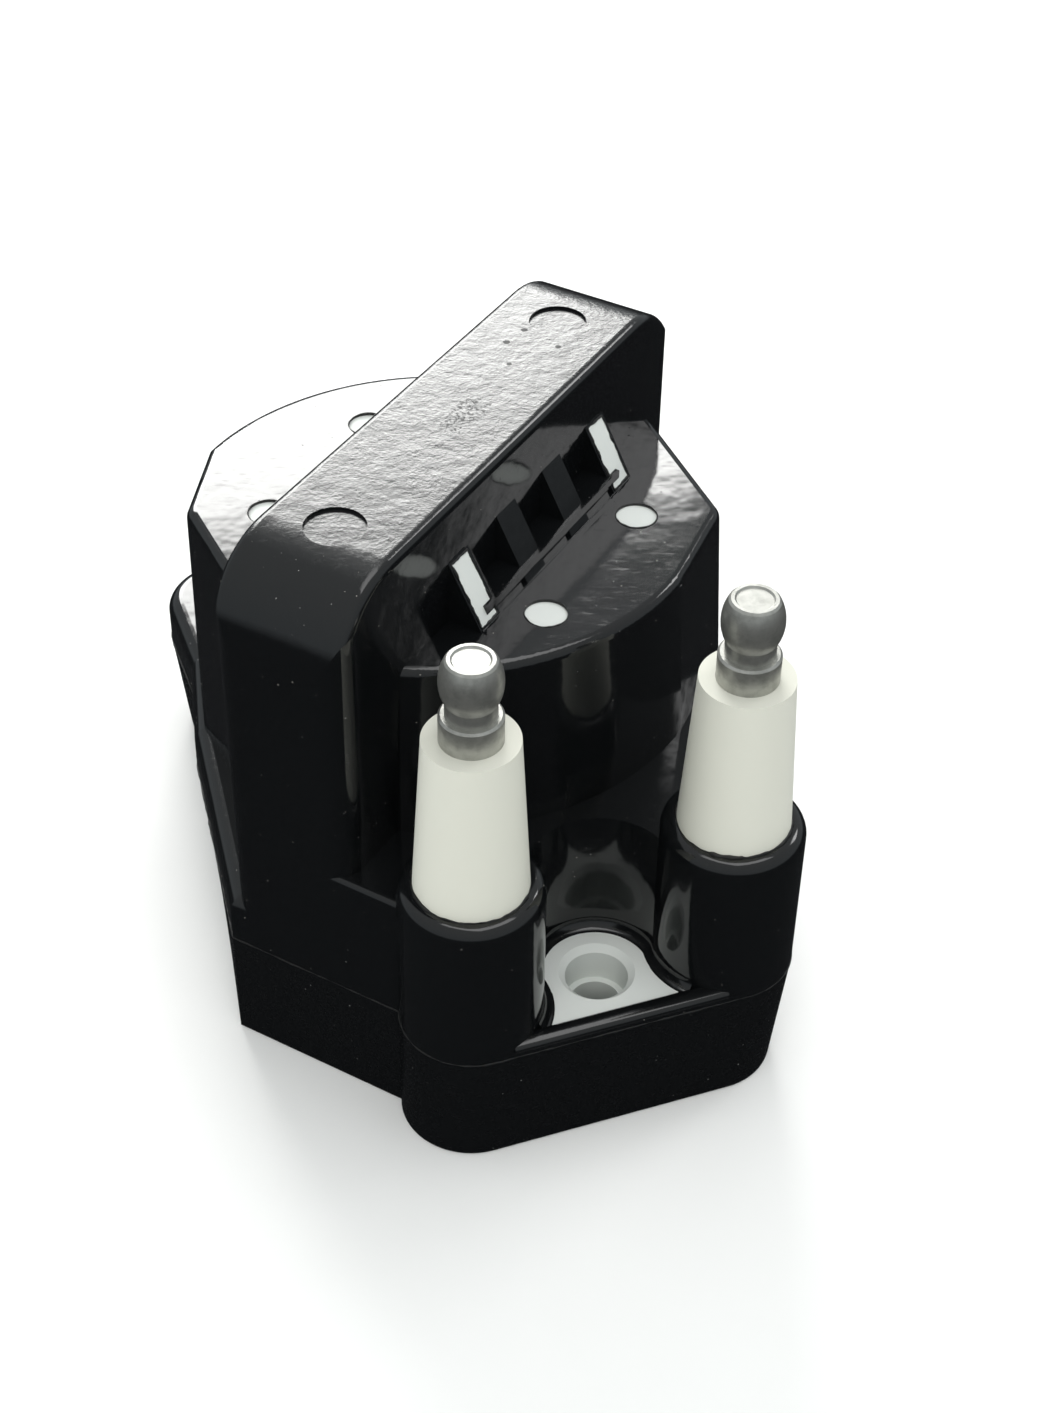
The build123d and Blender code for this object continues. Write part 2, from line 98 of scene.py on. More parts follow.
class Wire:
    """One output socket of a node graph, with arithmetic that adds Math nodes."""

    def __init__(self, graph: Graph, socket: bpy.types.NodeSocket) -> None:
        """Keeps the graph and the socket.

        Args:
            graph: the graph that the socket belongs to.
            socket: an output socket.
        """
        self.graph = graph
        self.socket = socket

    def maths(self, operation: str, *others: Wire | float, swap: bool = False) -> Wire:
        """Adds a Math node.

        Args:
            operation: the node's operation.
            others: the other operands.
            swap: puts the first of the others before this value.

        Returns:
            The node's result.
        """
        operands: list[Wire | float] = [self, *others]
        if swap:
            operands[0], operands[1] = operands[1], operands[0]
        return self.graph.wire("ShaderNodeMath", {"operation": operation}, dict(enumerate(operands)))

    def __add__(self, other: Wire | float) -> Wire:
        """Sum."""
        return self.maths("ADD", other)

    __radd__ = __add__

    def __sub__(self, other: Wire | float) -> Wire:
        """Difference."""
        return self.maths("SUBTRACT", other)

    def __rsub__(self, other: float) -> Wire:
        """Difference, from a plain number."""
        return self.maths("SUBTRACT", other, swap=True)

    def __mul__(self, other: Wire | float) -> Wire:
        """Product."""
        return self.maths("MULTIPLY", other)

    __rmul__ = __mul__

    def __lt__(self, other: Wire | float) -> Wire:
        """One where this value is the lesser, otherwise zero."""
        return self.maths("LESS_THAN", other)

    def ramp(self, low: float, high: float) -> Wire:
        """Smooth step.

        Args:
            low: value at or below which the result is zero.
            high: value at or above which the result is one.

        Returns:
            The eased share of the way from low to high.
        """
        return self.graph.wire(
            "ShaderNodeMapRange",
            {"interpolation_type": "SMOOTHSTEP"},
            {"Value": self, "From Min": low, "From Max": high},
        )

    def within(self, span: Span) -> Wire:
        """Soft-edged stretch of a length.

        Args:
            span: where it starts, is full, starts to fall and ends, in millimetres.

        Returns:
            One inside the stretch and zero outside it.
        """
        start, full, fall, end = (place * MM for place in span)
        return self.ramp(start, full) * (1.0 - self.ramp(fall, end))


class Graph:
    """A node tree that is built by asking for nodes."""

    def __init__(self, tree: bpy.types.NodeTree) -> None:
        """Keeps the tree.

        Args:
            tree: an empty node tree.
        """
        self.tree = tree

    def node(
        self,
        kind: str,
        settings: dict[str, Any] | None = None,
        sockets: dict[str | int, Any] | None = None,
    ) -> bpy.types.Node:
        """Adds a node.

        Args:
            kind: the node's type.
            settings: its properties, set first; "stops" fills a colour ramp.
            sockets: values or wires, by the input's name or place.

        Returns:
            The node.
        """
        made = self.tree.nodes.new(kind)
        for name, value in (settings or {}).items():
            if name == "stops":
                ramp = made.color_ramp
                while len(ramp.elements) < len(value):
                    ramp.elements.new(0.5)
                for element, (place, colour) in zip(ramp.elements, value):
                    element.position = place
                    element.color = colour
            else:
                setattr(made, name, value)
        for name, value in (sockets or {}).items():
            if isinstance(value, Wire):
                self.tree.links.new(value.socket, made.inputs[name])
            else:
                made.inputs[name].default_value = value
        return made

    def wire(
        self,
        kind: str,
        settings: dict[str, Any] | None = None,
        sockets: dict[str | int, Any] | None = None,
        output: str | int = 0,
    ) -> Wire:
        """Adds a node and takes one of its outputs.

        Args:
            kind: the node's type.
            settings: its properties.
            sockets: values or wires of its inputs.
            output: name or place of the output.

        Returns:
            The output.
        """
        return Wire(self, self.node(kind, settings, sockets).outputs[output])

    def place(self) -> Wire:
        """Object coordinates, in metres."""
        return self.wire("ShaderNodeTexCoord", output="Object")

    def turned(self, vector: Wire, scale: Vector, angle: float = 0.0) -> Wire:
        """Coordinates turned about the vertical and then scaled.

        Args:
            vector: the coordinates.
            scale: factor along each turned axis.
            angle: turn in degrees.

        Returns:
            The new coordinates.
        """
        turned = self.wire(
            "ShaderNodeMapping",
            {"vector_type": "POINT"},
            {"Vector": vector, "Rotation": (0.0, 0.0, math.radians(angle))},
        )
        return self.wire("ShaderNodeVectorMath", {"operation": "MULTIPLY"}, {0: turned, 1: scale})

    def noise(self, vector: Wire, size: float, detail: float = 2.0, roughness: float = 0.5) -> Wire:
        """Noise with features of a given size.

        Args:
            vector: the coordinates.
            size: feature size in millimetres.
            detail: number of finer layers.
            roughness: strength of the finer layers.

        Returns:
            Values about one half.
        """
        return self.wire(
            "ShaderNodeTexNoise",
            sockets={"Vector": vector, "Scale": 1 / (size * MM), "Detail": detail, "Roughness": roughness},
        )

    def cells(self, vector: Wire, size: float) -> Wire:
        """Distance to the nearest of scattered points.

        Args:
            vector: the coordinates.
            size: spacing of the points in millimetres.

        Returns:
            The distance as a share of the spacing.
        """
        return self.wire("ShaderNodeTexVoronoi", sockets={"Vector": vector, "Scale": 1 / (size * MM)})

    def blend(self, share: Wire, first: Colour | Wire, second: Colour | Wire) -> Wire:
        """Mix of two colours.

        Args:
            share: share of the second colour.
            first: colour where the share is zero.
            second: colour where the share is one.

        Returns:
            The mixed colour.
        """
        inputs = {"Factor": share, 6: first, 7: second}
        return self.wire("ShaderNodeMix", {"data_type": "RGBA"}, inputs, output=2)

    def bump(self, height: Wire, depth: float, below: Wire | None = None) -> Wire:
        """Surface relief.

        Args:
            height: relief between zero and one.
            depth: what a height of one stands for, in millimetres.
            below: a normal that the relief is added to.

        Returns:
            The normal.
        """
        sockets: dict[str | int, Any] = {"Height": height, "Distance": depth * MM, "Strength": 1.0}
        if below is not None:
            sockets["Normal"] = below
        return self.wire("ShaderNodeBump", sockets=sockets)

    def parts(self, vector: Wire) -> tuple[Wire, Wire, Wire]:
        """X, Y and Z of a vector."""
        split = self.node("ShaderNodeSeparateXYZ", sockets={0: vector})
        return Wire(self, split.outputs[0]), Wire(self, split.outputs[1]), Wire(self, split.outputs[2])


# ---- finishes ------------------------------------------------------------------------


@dataclass(frozen=True)
class Finish:
    """A surface finish. Each kind says how its colour, roughness and relief vary."""

    name: str
    colour: Colour
    roughness: float
    metallic: float = 0.0
    gloss_index: float = 1.5

    def surface(self, graph: Graph, place: Wire) -> dict[str, Any]:
        """Inputs of the shader that vary over the surface.

        Args:
            graph: the material's graph.
            place: object coordinates.

        Returns:
            Values and wires by the shader's input.
        """
        raise NotImplementedError

    def material(self) -> bpy.types.Material:
        """The material, made on its first use.

        Returns:
            The material of this finish's name.
        """
        known = bpy.data.materials.get(self.name)
        if known is not None:
            return known
        made = bpy.data.materials.new(self.name)
        made.use_nodes = True
        made.node_tree.nodes.clear()
        graph = Graph(made.node_tree)
        sockets: dict[str | int, Any] = {
            "Base Color": self.colour,
            "Roughness": self.roughness,
            "Metallic": self.metallic,
            "IOR": self.gloss_index,
        }
        sockets.update(self.surface(graph, graph.place()))
        shader = graph.wire("ShaderNodeBsdfPrincipled", sockets=sockets)
        graph.node("ShaderNodeOutputMaterial", sockets={"Surface": shader})
        return made

    def dress(self, piece: bpy.types.Object) -> None:
        """Gives a piece this finish only.

        Args:
            piece: a mesh object.
        """
        piece.data.materials.clear()
        piece.data.materials.append(self.material())


@dataclass(frozen=True)
class GlossMoulding(Finish):
    """Glossy thermoset moulding with dust specks, fine scuffs and a coarser cast top."""

    dust_colour: Colour = (0.26, 0.26, 0.25, 1.0)
    stain_colour: Colour = (0.004, 0.004, 0.004, 1.0)
    cast_level: float = 71.4
    cast_edge: float = 1.1
    dust_spacing: float = 1.3
    dust_patch: float = 9.0
    dust_depth: float = 0.05
    ink_grain: float = 0.42
    smudge_along: Span = (-5.0, -2.5, 2.5, 5.0)
    smudge_across: Span = (-3.4, -1.6, -0.2, 1.6)
    drops_along: Span = (9.0, 12.0, 20.0, 21.0)
    drop_spacing: float = 3.1
    drop_radius: float = 0.14
    peel_size: float = 4.5
    peel_depth: float = 0.035
    scuff_size: float = 0.5
    scuff_angle: float = 20.0
    scuff_depth: float = 0.002
    wave_size: float = 3.2
    wave_depth: float = 0.11
    pit_size: float = 0.55
    pit_depth: float = 0.035
    scuff_dulling: float = 0.12
    base_dulling: float = 0.16
    top_dulling: float = 0.17
    speck_dulling: float = 0.3

    def dust(self, graph: Graph, place: Wire) -> Wire:
        """Mask of scattered dust specks.

        Args:
            graph: the material's graph.
            place: object coordinates.

        Returns:
            One on a speck, otherwise zero.
        """
        drift = graph.noise(place, self.dust_patch, 2.0).ramp(0.52, 0.75)
        speck = 1.0 - graph.cells(place, self.dust_spacing).ramp(*SPECK_EDGE)
        return speck * drift

    def cast_top(self, graph: Graph, place: Wire) -> Wire:
        """Mask of the hump's upward face, which was cast against a rougher tool.

        Args:
            graph: the material's graph.
            place: object coordinates.

        Returns:
            One on the top face.
        """
        height = graph.parts(place)[2]
        upward = graph.parts(graph.wire("ShaderNodeNewGeometry", output="True Normal"))[2]
        high = height.ramp((self.cast_level - self.cast_edge) * MM, self.cast_level * MM)
        return high * upward.ramp(0.8, 0.98)

    def stain(self, graph: Graph, place: Wire) -> Wire:
        """Mask of a faded ink smudge on the top, and of a few stray drops behind it.

        Args:
            graph: the material's graph.
            place: object coordinates.

        Returns:
            One where the ink is.
        """
        along, across, _ = graph.parts(graph.turned(place, Vector((1.0, 1.0, 1.0)), -HUMP_ANGLE))
        grain = graph.noise(place, self.ink_grain, 2.0).ramp(0.5, 0.62)
        smudge = along.within(self.smudge_along) * across.within(self.smudge_across)
        drops = graph.cells(place, self.drop_spacing) < self.drop_radius
        return grain * smudge.ramp(0.1, 0.7) + drops * along.within(self.drops_along)

    def surface(self, graph: Graph, place: Wire) -> dict[str, Any]:
        """Gloss with orange peel, scuffs and dust; rough and wavy on the hump's top.

        Args:
            graph: the material's graph.
            place: object coordinates.

        Returns:
            Values and wires by the shader's input.
        """
        top = self.cast_top(graph, place)
        dust = self.dust(graph, place)
        ink = self.stain(graph, place) * top
        peel = graph.noise(place, self.peel_size, 2.0)
        stretched = graph.turned(place, Vector((0.25, 1.0, 1.0)), self.scuff_angle)
        scuffs = graph.noise(stretched, self.scuff_size, 3.0).ramp(0.55, 0.8)
        waves = graph.noise(place, self.wave_size, 4.0, 0.6)
        pits = graph.noise(place, self.pit_size, 3.0, 0.65)
        low = 1.0 - graph.parts(place)[2].ramp((SEAM - 1.0) * MM, SEAM * MM)
        relief = graph.bump(peel, self.peel_depth)
        relief = graph.bump(scuffs * (0.2 + low * 0.2), self.scuff_depth, relief)
        relief = graph.bump(waves * top, self.wave_depth, relief)
        relief = graph.bump(pits * top, self.pit_depth, relief)
        relief = graph.bump(dust, self.dust_depth, relief)
        tone = graph.blend(dust, self.colour, self.dust_colour)
        worn = self.roughness + scuffs * self.scuff_dulling + low * self.base_dulling + top * self.top_dulling
        return {
            "Base Color": graph.blend(ink, tone, self.stain_colour),
            "Roughness": worn + dust * self.speck_dulling + ink * self.speck_dulling,
            "Normal": relief,
        }


@dataclass(frozen=True)
class SatinMoulding(Finish):
    """Plain moulded plastic: a faint cloudy tone, specks and a fine satin grain."""

    shade: Colour = (0.5, 0.5, 0.45, 1.0)
    cloud_size: float = 7.0
    grain_size: float = 0.35
    grain_depth: float = 0.012
    speck_spacing: float = 1.4
    soil_patch: float = 5.0
    cloud_depth: float = 0.05

    def surface(self, graph: Graph, place: Wire) -> dict[str, Any]:
        """Cloudy colour, dark specks and satin grain.

        Args:
            graph: the material's graph.
            place: object coordinates.

        Returns:
            Values and wires by the shader's input.
        """
        clouds = graph.noise(place, self.cloud_size, 3.0)
        grain = graph.noise(place, self.grain_size, 3.0)
        specks = 1.0 - graph.cells(place, self.speck_spacing).ramp(*SPECK_EDGE)
        soil = specks * graph.noise(place, self.soil_patch, 1.0).ramp(0.5, 0.62)
        tone = graph.blend(clouds.ramp(0.35, 0.8) * 0.25 + soil * 0.55, self.colour, self.shade)
        return {
            "Base Color": tone,
            "Roughness": self.roughness + (grain - 0.5) * 0.2 + (clouds - 0.5) * 0.1,
            "Normal": graph.bump(grain, self.grain_depth, graph.bump(clouds, self.cloud_depth)),
        }


@dataclass(frozen=True)
class TurnedMetal(Finish):
    """Machined or drawn metal with turning marks round the vertical and dull patches."""

    shade: Colour = (0.2, 0.2, 0.19, 1.0)
    mark_pitch: float = 0.12
    mark_depth: float = 0.004
    mark_stretch: tuple[float, float, float] = (0.04, 0.04, 1.0)
    tarnish_size: float = 1.6
    tarnish_depth: float = 0.015

    def surface(self, graph: Graph, place: Wire) -> dict[str, Any]:
        """Turning marks, tarnish and a grainy dulling.

        Args:
            graph: the material's graph.
            place: object coordinates.

        Returns:
            Values and wires by the shader's input.
        """
        marks = graph.noise(graph.turned(place, Vector(self.mark_stretch)), self.mark_pitch, 2.0)
        tarnish = graph.noise(place, self.tarnish_size, 4.0, 0.6)
        return {
            "Base Color": graph.blend(tarnish.ramp(0.35, 0.75) * 0.6 + marks * 0.2, self.colour, self.shade),
            "Roughness": self.roughness + (tarnish - 0.5) * 0.25 + (marks - 0.5) * 0.15,
            "Normal": graph.bump(marks, self.mark_depth, graph.bump(tarnish, self.tarnish_depth)),
        }


@dataclass(frozen=True)
class Layered(Finish):
    """Stacked sheets or wound turns: fine bands across one turned axis."""

    shade: Colour = (0.05, 0.05, 0.05, 1.0)
    across: tuple[float, float, float] = (0.0, 1.0, 0.0)
    angle: float = 0.0
    pitch: float = 0.5
    depth: float = 0.05
    patch_size: float = 2.2

    def surface(self, graph: Graph, place: Wire) -> dict[str, Any]:
        """Bands with darker gaps and a little unevenness.

        Args:
            graph: the material's graph.
            place: object coordinates.

        Returns:
            Values and wires by the shader's input.
        """
        x, y, z = graph.parts(graph.turned(place, Vector(self.across), self.angle))
        phase = (x + y + z) * (math.tau / (self.pitch * MM))
        band = phase.maths("SINE") * 0.5 + 0.5
        patches = graph.noise(place, self.patch_size, 3.0)
        return {
            "Base Color": graph.blend((1.0 - band) * 0.6 + patches * 0.3, self.colour, self.shade),
            "Roughness": self.roughness + (patches - 0.5) * 0.2,
            "Normal": graph.bump(band, self.depth),
        }


BLACK = (0.0045, 0.005, 0.0055, 1.0)
HOUSING = GlossMoulding("gloss_black_moulding", BLACK, 0.085, gloss_index=1.52)
FLASH = SatinMoulding("torn_black_flash", (0.006, 0.006, 0.006, 1.0), 0.45, shade=(0.03, 0.028, 0.025, 1.0))
COVE = SatinMoulding(
    "smooth_black_cove", BLACK, 0.12, shade=(0.012, 0.012, 0.013, 1.0), grain_depth=0.002, gloss_index=1.52
)
WHITE = SatinMoulding("white_moulding", (0.78, 0.80, 0.765, 1.0), 0.42, shade=(0.60, 0.61, 0.56, 1.0))
TOWER = SatinMoulding("tower_insulation", (0.71, 0.71, 0.635, 1.0), 0.5, shade=(0.60, 0.60, 0.52, 1.0))
STEEL = TurnedMetal("satin_steel", (0.50, 0.50, 0.47, 1.0), 0.4, metallic=0.85, shade=(0.27, 0.27, 0.25, 1.0))
TIN = TurnedMetal("tinned_wire", (0.72, 0.71, 0.69, 1.0), 0.3, metallic=1.0, shade=(0.45, 0.44, 0.42, 1.0))
BRASS = TurnedMetal("socket_brass", (0.75, 0.56, 0.24, 1.0), 0.28, metallic=1.0, shade=(0.4, 0.28, 0.12, 1.0))
SHEETS = Layered(
    "laminated_steel", (0.30, 0.31, 0.33, 1.0), 0.42, metallic=0.9, angle=-HUMP_ANGLE, pitch=0.5, depth=0.04
)
FILM = SatinMoulding("insulation_film", (0.55, 0.36, 0.12, 1.0), 0.3, shade=(0.40, 0.24, 0.08, 1.0))
BOBBIN = SatinMoulding("bobbin_plastic", (0.42, 0.41, 0.36, 1.0), 0.45, shade=(0.30, 0.29, 0.25, 1.0))
COPPER = Layered(
    "enamelled_wire",
    (0.50, 0.19, 0.07, 1.0),
    0.28,
    metallic=0.8,
    shade=(0.16, 0.05, 0.02, 1.0),
    across=(0.0, 0.0, 1.0),
    pitch=0.45,
)
RESIN = SatinMoulding("potting_resin", (0.045, 0.03, 0.02, 1.0), 0.25, shade=(0.02, 0.014, 0.01, 1.0))

NODE_FINISHES: dict[str, Finish] = {
    "upper_housing": HOUSING,
    "lower_housing": HOUSING,
    "coil_case": WHITE,
    "case_cover": WHITE,
    "front_mount_ear": WHITE,
    "rear_mount_ear": WHITE,
    "left_tower": TOWER,
    "right_tower": TOWER,
    "left_terminal_post": STEEL,
    "right_terminal_post": STEEL,
    "left_hv_lead": TIN,
    "right_hv_lead": TIN,
    "left_primary_lead": TIN,
    "right_primary_lead": TIN,
    "e_core": SHEETS,
    "i_core": SHEETS,
    "core_gap_shims": FILM,
    "primary_tape": FILM,
    "primary_bobbin": BOBBIN,
    "secondary_bobbin": BOBBIN,
    "primary_winding": COPPER,
    "secondary_winding": COPPER,
    "potting_resin": RESIN,
    "left_primary_socket": BRASS,
    "right_primary_socket": BRASS,
}


# ---- mesh helpers --------------------------------------------------------------------


def mesh_object(name: str, mesh: bpy.types.Mesh) -> bpy.types.Object:
    """Puts a mesh into the scene.

    Args:
        name: the object's name.
        mesh: its mesh.

    Returns:
        The object, at the origin.
    """
    made = bpy.data.objects.new(name, mesh)
    bpy.context.scene.collection.objects.link(made)
    return made


def finished(shape: bmesh.types.BMesh, name: str, finish: Finish) -> bpy.types.Object:
    """Turns a built shape into a smooth-shaded piece that rides on the coil.

    Args:
        shape: the shape, which is freed.
        name: the piece's name.
        finish: its finish.

    Returns:
        The piece.
    """
    mesh = bpy.data.meshes.new(name)
    shape.to_mesh(mesh)
    shape.free()
    mesh.shade_smooth()
    mesh.set_sharp_from_angle(angle=math.radians(SHARP_ANGLE))
    made = mesh_object(name, mesh)
    finish.dress(made)
    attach(made, ROOT)
    return made


def merged_copy(node: str) -> bmesh.types.BMesh:
    """A copy of a frame node's mesh with its doubled points merged.

    Args:
        node: the node's name.

    Returns:
        The copy, to be freed by the caller.
    """
    copy = bmesh.new()
    copy.from_mesh(bpy.data.objects[node].data)
    bmesh.ops.remove_doubles(copy, verts=copy.verts, dist=1e-7)
    return copy


def section(node: str, level: float) -> list[Loop]:
    """Closed outlines of a node at a level, the longest first.

    Args:
        node: the node's name.
        level: height in metres.

    Returns:
        Each outline as its points in order.
    """
    copy = merged_copy(node)
    geometry = copy.verts[:] + copy.edges[:] + copy.faces[:]
    cut = bmesh.ops.bisect_plane(copy, geom=geometry, plane_co=(0, 0, level), plane_no=(0, 0, 1))["geom_cut"]
    edges = dict.fromkeys(item for item in cut if isinstance(item, bmesh.types.BMEdge))
    loops: list[Loop] = []
    while edges:
        edge = next(iter(edges))
        del edges[edge]
        first, point = edge.verts
        loop = [first.co.copy(), point.co.copy()]
        while point is not first:
            onward = next((other for other in point.link_edges if other in edges), None)
            if onward is None:
                break
            del edges[onward]
            point = onward.other_vert(point)
            loop.append(point.co.copy())
        loops.append(loop[:-1] if point is first else loop)
    copy.free()
    return sorted(loops, key=length, reverse=True)


def length(loop: Loop) -> float:
    """Length of a closed outline."""
    return sum((a - b).length for a, b in zip(loop, loop[1:] + loop[:1]))


def circle(centre: Vector, radius: float, steps: int = 48) -> Loop:
    """Points round a level circle.

    Args:
        centre: its centre.
        radius: its radius in metres.
        steps: number of points.

    Returns:
        The points in order.
    """
    turns = (math.tau * step / steps for step in range(steps))
    return [centre + radius * Vector((math.cos(turn), math.sin(turn), 0.0)) for turn in turns]


def line_mesh(name: str, loops: list[Loop], closed: bool = True) -> bpy.types.Mesh:
    """A mesh of edge loops.

    Args:
        name: the mesh's name.
        loops: the loops' points.
        closed: joins each loop's last point to its first.

    Returns:
        The mesh.
    """
    points: list[Vector] = []
    edges: list[tuple[int, int]] = []
    for loop in loops:
        start, count = len(points), len(loop)
        points.extend(loop)
        runs = count if closed else count - 1
        edges.extend((start + step, start + (step + 1) % count) for step in range(runs))
    mesh = bpy.data.meshes.new(name)
    mesh.from_pydata(points, edges, [])
    return mesh


def tube(rings: list[Loop]) -> bmesh.types.BMesh:
    """A solid with capped ends through rings of points.

    Args:
        rings: the rings, each with as many points as the others.

    Returns:
        The solid, its faces turned outward.
    """
    shape = bmesh.new()
    made = [[shape.verts.new(place) for place in ring] for ring in rings]
    for first, second in zip(made, made[1:]):
        count = len(first)
        for place in range(count):
            onward = (place + 1) % count
            shape.faces.new((first[place], first[onward], second[onward], second[place]))
    shape.faces.new(made[0][::-1])
    shape.faces.new(made[-1])
    bmesh.ops.recalc_face_normals(shape, faces=shape.faces)
    return shape


# ---- geometry-node pieces ------------------------------------------------------------


class GeometryTree(Graph):
    """A geometry-node tree with named inputs, run once on an object."""

    def __init__(self, name: str) -> None:
        """Makes the tree with its geometry input and output.

        Args:
            name: the tree's name.
        """
        super().__init__(bpy.data.node_groups.new(name, "GeometryNodeTree"))
        self.tree.interface.new_socket("Geometry", in_out="INPUT", socket_type="NodeSocketGeometry")
        self.tree.interface.new_socket("Geometry", in_out="OUTPUT", socket_type="NodeSocketGeometry")
        self.inputs = self.tree.nodes.new("NodeGroupInput")
        self.identifiers: dict[str, str] = {}

    def size(self, name: str, kind: str = "NodeSocketFloat") -> Wire:
        """Adds a named input.

        Args:
            name: the input's name.
            kind: the socket's type.

        Returns:
            The input's value inside the tree.
        """
        made = self.tree.interface.new_socket(name, in_out="INPUT", socket_type=kind)
        self.identifiers[name] = made.identifier
        return Wire(self, self.inputs.outputs[name])

    def end(self, geometry: Wire, finish: Finish) -> None:
        """Realises the instances and sets the material.

        Args:
            geometry: what the tree has made.
            finish: the finish of the result.
        """
        whole = self.wire("GeometryNodeRealizeInstances", sockets={"Geometry": geometry})
        sockets = {"Geometry": whole, "Material": finish.material()}
        self.node("NodeGroupOutput", sockets={0: self.wire("GeometryNodeSetMaterial", sockets=sockets)})

    def run(self, name: str, source: bpy.types.Mesh, values: dict[str, float | int]) -> bpy.types.Object:
        """Runs the tree on a mesh and keeps the result as a plain mesh.

        Args:
            name: name of the new object.
            source: the mesh that the tree starts from.
            values: the named inputs' values.

        Returns:
            The new object.
        """
        made = mesh_object(name, source)
        modifier = made.modifiers.new("nodes", "NODES")
        modifier.node_group = self.tree
        for label, value in values.items():
            modifier[self.identifiers[label]] = value
        graph = bpy.context.evaluated_depsgraph_get()
        result = bpy.data.meshes.new_from_object(made.evaluated_get(graph))
        made.modifiers.remove(modifier)
        made.data = result
        return made


@dataclass
class Flash:
    """Thin ragged bead of moulding flash along lines; sizes are in millimetres."""

    name: str
    loops: list[Loop]
    radius: float = 0.16
    ragged: float = 0.12
    lift: float = 0.0
    step: float = 0.35
    patch: float = 1.6
    seed: int = 3
    closed: bool = True
    finish: Finish = FLASH

    @staticmethod
    def tree(finish: Finish) -> GeometryTree:
        """The bead's tree, made for one finish.

        Args:
            finish: the bead's finish.

        Returns:
            The tree.
        """
        tree = GeometryTree(f"ragged_bead_{finish.name}")
        radius, ragged, step, patch = (tree.size(n) for n in ("Radius", "Ragged", "Step", "Patch"))
        seed = tree.size("Seed", "NodeSocketInt")
        start = Wire(tree, tree.inputs.outputs["Geometry"])
        curve = tree.wire("GeometryNodeMeshToCurve", sockets={"Mesh": start})
        even = tree.wire("GeometryNodeResampleCurve", {"mode": "LENGTH"}, {"Curve": curve, "Length": step})
        place = tree.wire("GeometryNodeInputPosition")
        drift = tree.wire(
            "ShaderNodeTexNoise",
            {"noise_dimensions": "4D"},
            {"Vector": place, "W": seed * DRIFT_STRIDE, "Scale": 1.0 / MM, "Detail": 2.0},
            output="Color",
        )
        centred = tree.wire("ShaderNodeVectorMath", {"operation": "SUBTRACT"}, {0: drift, 1: (0.5, 0.5, 0.5)})
        shift = tree.wire("ShaderNodeVectorMath", {"operation": "SCALE"}, {0: centred, "Scale": ragged})
        moved = tree.wire("GeometryNodeSetPosition", sockets={"Geometry": even, "Offset": shift})
        swell = tree.wire(
            "ShaderNodeTexNoise",
            {"noise_dimensions": "4D"},
            {"Vector": place, "W": seed * SWELL_STRIDE, "Scale": patch, "Detail": 3.0},
        )
        profile = tree.wire("GeometryNodeCurvePrimitiveCircle", sockets={"Resolution": 6, "Radius": 1.0})
        thickness = swell.ramp(0.3, 0.75) * radius + 0.25 * radius
        bead = tree.wire(
            "GeometryNodeCurveToMesh",
            sockets={"Curve": moved, "Profile Curve": profile, "Scale": thickness, "Fill Caps": True},
        )
        tree.end(bead, finish)
        return tree

    def build(self) -> bpy.types.Object:
        """Makes the bead.

        Returns:
            The bead as one mesh.
        """
        lifted = [[point + Vector((0, 0, self.lift * MM)) for point in loop] for loop in self.loops]
        values = {
            "Radius": self.radius * MM,
            "Ragged": self.ragged * MM,
            "Step": self.step * MM,
            "Patch": 1.0 / (self.patch * MM),
            "Seed": self.seed,
        }
        made = self.tree(self.finish).run(self.name, line_mesh(self.name, lifted, self.closed), values)
        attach(made, ROOT)
        return made


@dataclass
class Dust:
    """Lint and dust flakes scattered over the housing's visible faces."""

    name: str = "dust_flakes"
    node: str = "upper_housing"
    density: float = 30000.0
    size: float = 0.11
    smallest: float = 0.25
    proportions: tuple[float, float, float] = (1.0, 0.55, 0.3)
    clearance: float = 0.0006
    lowest_slope: float = -0.3
    seed: int = 11

    def build(self) -> bpy.types.Object:
        """Scatters the flakes.

        Returns:
            The flakes as one mesh.
        """
        tree = GeometryTree("scattered_flakes")
        density, size = tree.size("Density"), tree.size("Size")
        seed = tree.size("Seed", "NodeSocketInt")
        start = Wire(tree, tree.inputs.outputs["Geometry"])
        scatter = tree.node(
            "GeometryNodeDistributePointsOnFaces",
            {"distribute_method": "RANDOM"},
            {"Mesh": start, "Density": density, "Seed": seed},
        )
        flake = tree.wire("GeometryNodeMeshIcoSphere", sockets={"Radius": 1.0, "Subdivisions": 1})
        flat = tree.wire("GeometryNodeTransform", sockets={"Geometry": flake, "Scale": self.proportions})
        span = {2: self.smallest, 3: 1.0, "Seed": seed}
        share = tree.wire("FunctionNodeRandomValue", {"data_type": "FLOAT"}, span, output=1)
        instances = tree.wire(
            "GeometryNodeInstanceOnPoints",
            sockets={
                "Points": Wire(tree, scatter.outputs["Points"]),
                "Instance": flat,
                "Rotation": Wire(tree, scatter.outputs["Rotation"]),
                "Scale": share * share * size,
            },
        )
        tree.end(instances, DUST)
        copy = merged_copy(self.node)
        hidden = [face for face in copy.faces if not self.visible(face)]
        bmesh.ops.delete(copy, geom=hidden, context="FACES")
        mesh = bpy.data.meshes.new(self.name)
        copy.to_mesh(mesh)
        copy.free()
        values = {"Density": self.density, "Size": self.size * MM, "Seed": self.seed}
        made = tree.run(self.name, mesh, values)
        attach(made, ROOT)
        return made

    def visible(self, face: bmesh.types.BMFace) -> bool:
        """Whether a face of the housing is on its outside, where dust can settle.

        Args:
            face: a face of the housing's mesh.

        Returns:
            True where nothing of the housing stands before it and it doesn't hang over.
        """
        start = face.calc_center_median() + face.normal * self.clearance
        covered = bpy.data.objects[self.node].ray_cast(start, face.normal)[0]
        return not covered and face.normal.z > self.lowest_slope


